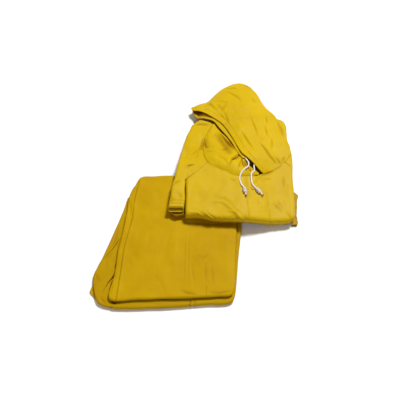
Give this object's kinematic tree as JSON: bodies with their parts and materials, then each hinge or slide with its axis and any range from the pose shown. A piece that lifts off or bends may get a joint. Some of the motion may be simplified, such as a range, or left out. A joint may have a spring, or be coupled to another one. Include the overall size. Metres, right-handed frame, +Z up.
{
  "type": "rain suit",
  "caption": "Folded hooded rain jacket with drawcord and storm flap, lying across its folded rain trousers.",
  "frame": {"origin": "centre of the folded set's outline, on the surface that it lies on", "axes": "+Z up, -Y towards the folded trousers, +X towards the jacket's left side"},
  "size_m": [0.69, 0.9478, 0.0801],
  "materials": {
    "jacket_cloth": "satin coated",
    "jacket_cloth_inside": "matte woven",
    "trouser_cloth": "satin coated",
    "trouser_cloth_inside": "matte woven",
    "cord": "matte braided",
    "press_stud": "satin"
  },
  "bodies": {
    "root": {"trousers_inner_layers": "trouser_cloth_inside", "trousers_right_leg_front": "trouser_cloth", "trousers_right_leg_back": "trouser_cloth", "trousers_left_leg_front": "trouser_cloth", "trousers_left_leg_back": "trouser_cloth", "trousers_left_leg_turned_edge": "trouser_cloth", "jacket_inner_layers": "jacket_cloth_inside", "jacket_front_right": "jacket_cloth", "jacket_front_left": "jacket_cloth", "storm_flap": "jacket_cloth", "press_stud": "press_stud", "jacket_sleeve_right": "jacket_cloth", "jacket_inner_cuff_right": "jacket_cloth_inside", "jacket_sleeve_left": "jacket_cloth", "jacket_sleeve_left_folded_end": "jacket_cloth", "hood_left_panel": "jacket_cloth", "hood_casing_left": "jacket_cloth", "hood_casing_right": "jacket_cloth", "hood_right_panel": "jacket_cloth", "hood_right_neck": "jacket_cloth", "drawcord_right": "cord", "drawcord_right_knot": "cord", "drawcord_left": "cord", "drawcord_left_knot": "cord"}
  },
  "joints": []
}
